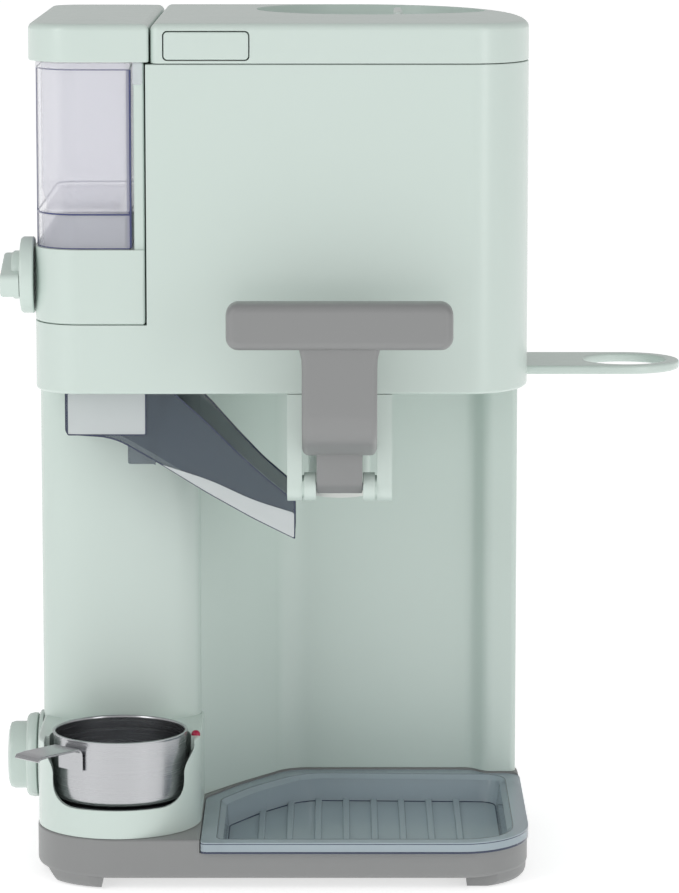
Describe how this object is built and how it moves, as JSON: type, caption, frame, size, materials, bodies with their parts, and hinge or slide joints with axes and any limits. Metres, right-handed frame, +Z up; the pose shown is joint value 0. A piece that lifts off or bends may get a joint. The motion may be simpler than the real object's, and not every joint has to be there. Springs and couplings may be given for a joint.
{
  "type": "ice cream maker",
  "caption": "Countertop soft-serve ice cream maker with a freezing head, T-handle spout, mix-in hopper and chute, warming cup bay, drip tray and cone ring.",
  "frame": {"origin": "on the table, under the middle of the whole machine", "axes": "+Z up, -Y towards the user, +X to the user's right"},
  "size_m": [0.344, 0.259, 0.4285],
  "materials": {
    "mint_plastic": "glossy moulded",
    "pale_plastic": "satin moulded",
    "white_plastic": "moulded",
    "grey_plastic": "satin moulded",
    "smoked_plastic": "smoked, clear",
    "clear_plastic": "clear",
    "red_lens": "translucent",
    "black_plastic": "moulded",
    "cup_steel": "brushed",
    "screw_steel": "plated",
    "motor_steel": "plated",
    "plate_metal": "hard anodised",
    "bowl_metal": "satin",
    "bronze": "sintered",
    "seal_rubber": "soft",
    "foot_rubber": "soft",
    "gel": "gel",
    "gear_plastic": "acetal",
    "board": "laminate",
    "mica_heater": "mica"
  },
  "bodies": {
    "machine_body": {"base_shell": "grey_plastic", "bottom_plate": "black_plastic", "rubber_feet": "foot_rubber", "bottom_screws": "screw_steel", "column_shell": "mint_plastic", "rear_cover": "pale_plastic", "rear_screws": "screw_steel", "cord_gland": "black_plastic", "warming_plate": "plate_metal", "heater_ring": "mica_heater", "indicator_lens": "red_lens", "knob_bezel": "mint_plastic", "rotary_switch": "black_plastic", "control_board": "board", "head_shell": "mint_plastic", "drop_duct": "pale_plastic", "bowl_well": "white_plastic", "freezer_bowl_shell": "white_plastic", "bowl_liner": "bowl_metal", "coolant_gel": "gel", "bowl_gasket": "seal_rubber", "outlet_tube": "white_plastic", "gearbox_case": "pale_plastic", "gearbox_cover": "pale_plastic", "output_bush": "bronze", "lower_bush": "bronze", "idler_axle": "screw_steel", "motor_can": "motor_steel", "motor_bracket": "screw_steel", "spout_bracket": "mint_plastic", "spout_body": "mint_plastic", "spout_nozzle": "white_plastic", "handle_pin": "screw_steel", "lid_hinge_pin": "screw_steel"},
    "lid": {"lid_shell": "mint_plastic", "lid_liner": "white_plastic", "lid_seal": "seal_rubber"},
    "latch": {"latch_button": "mint_plastic"},
    "feed_plug": {"feed_cap": "pale_plastic"},
    "mixer": {"paddle": "white_plastic", "drive_shaft": "screw_steel", "output_gear": "gear_plastic"},
    "idler": {"idler_gear": "gear_plastic"},
    "pinion": {"motor_pinion": "bronze"},
    "pull_handle": {"handle": "grey_plastic"},
    "gate": {"spout_gate": "pale_plastic"},
    "hopper": {"hopper_housing": "mint_plastic", "hopper_container": "clear_plastic"},
    "hopper_cover": {"hopper_lid": "mint_plastic"},
    "dispenser": {"hopper_knob": "mint_plastic", "dispenser_rotor": "pale_plastic"},
    "chute_trough": {"chute": "smoked_plastic"},
    "tray": {"drip_tray": "smoked_plastic"},
    "cup": {"mix_cup": "cup_steel", "cup_handle": "cup_steel"},
    "mode_knob": {"power_knob": "mint_plastic"},
    "cone_rest": {"cone_ring": "mint_plastic"}
  },
  "joints": [
    {"name": "lid_hinge", "type": "hinge", "parent": "machine_body", "child": "lid", "pos_m": [-0.007, 0.1255, 0.4075], "axis": [-1, 0, 0], "range_deg": [0, 85]},
    {"name": "latch_press", "type": "slide", "parent": "lid", "child": "latch", "axis": [0, 1, 0], "range_m": [0, 0.002], "stiffness_N_per_m": 300, "springref_m": -0.001},
    {"name": "feed_cap_lift", "type": "slide", "parent": "lid", "child": "feed_plug", "axis": [0, 0, 1], "range_m": [0, 0.06]},
    {"name": "paddle_spin", "type": "hinge", "parent": "machine_body", "child": "mixer", "pos_m": [-0.002, 0.0085, 0.3], "axis": [0, 0, 1], "continuous": true},
    {"name": "idler_spin", "type": "hinge", "parent": "machine_body", "child": "idler", "pos_m": [-0.002, 0.06325, 0.2615], "axis": [0, 0, 1], "continuous": true},
    {"name": "pinion_spin", "type": "hinge", "parent": "machine_body", "child": "pinion", "pos_m": [-0.002, 0.0925, 0.2615], "axis": [0, 0, 1], "continuous": true},
    {"name": "handle_pull", "type": "hinge", "parent": "machine_body", "child": "pull_handle", "pos_m": [-0.002, -0.0735, 0.199], "axis": [1, 0, 0], "range_deg": [0, 65], "stiffness_Nm_per_rad": 0.2, "springref_deg": -34.38},
    {"name": "gate_slide", "type": "slide", "parent": "machine_body", "child": "gate", "axis": [0, 1, 0], "range_m": [0, 0.018]},
    {"name": "hopper_lift", "type": "slide", "parent": "machine_body", "child": "hopper", "axis": [0, 0, 1], "range_m": [0, 0.12]},
    {"name": "hopper_lid_lift", "type": "slide", "parent": "hopper", "child": "hopper_cover", "axis": [0, 0, 1], "range_m": [0, 0.08]},
    {"name": "dispenser_turn", "type": "hinge", "parent": "hopper", "child": "dispenser", "pos_m": [-0.152, -0.0495, 0.3015], "axis": [-1, 0, 0], "continuous": true},
    {"name": "chute_release", "type": "slide", "parent": "machine_body", "child": "chute_trough", "axis": [0, 0, -1], "range_m": [0, 0.04]},
    {"name": "tray_lift", "type": "slide", "parent": "machine_body", "child": "tray", "axis": [0, 0, 1], "range_m": [0, 0.06]},
    {"name": "cup_lift", "type": "slide", "parent": "machine_body", "child": "cup", "axis": [0, 0, 1], "range_m": [0, 0.06]},
    {"name": "mode_turn", "type": "hinge", "parent": "machine_body", "child": "mode_knob", "pos_m": [-0.152, 0.0005, 0.047], "axis": [-1, 0, 0], "range_deg": [0, 180]},
    {"name": "cone_ring_pull", "type": "slide", "parent": "machine_body", "child": "cone_rest", "axis": [1, 0, 0], "range_m": [0, 0.04]}
  ],
  "couplings": [
    {"joint": "idler_spin", "follows": "paddle_spin", "ratio": -1.7037},
    {"joint": "pinion_spin", "follows": "paddle_spin", "ratio": 3.8333},
    {"joint": "gate_slide", "follows": "handle_pull", "m_per_rad": 0.0158}
  ]
}
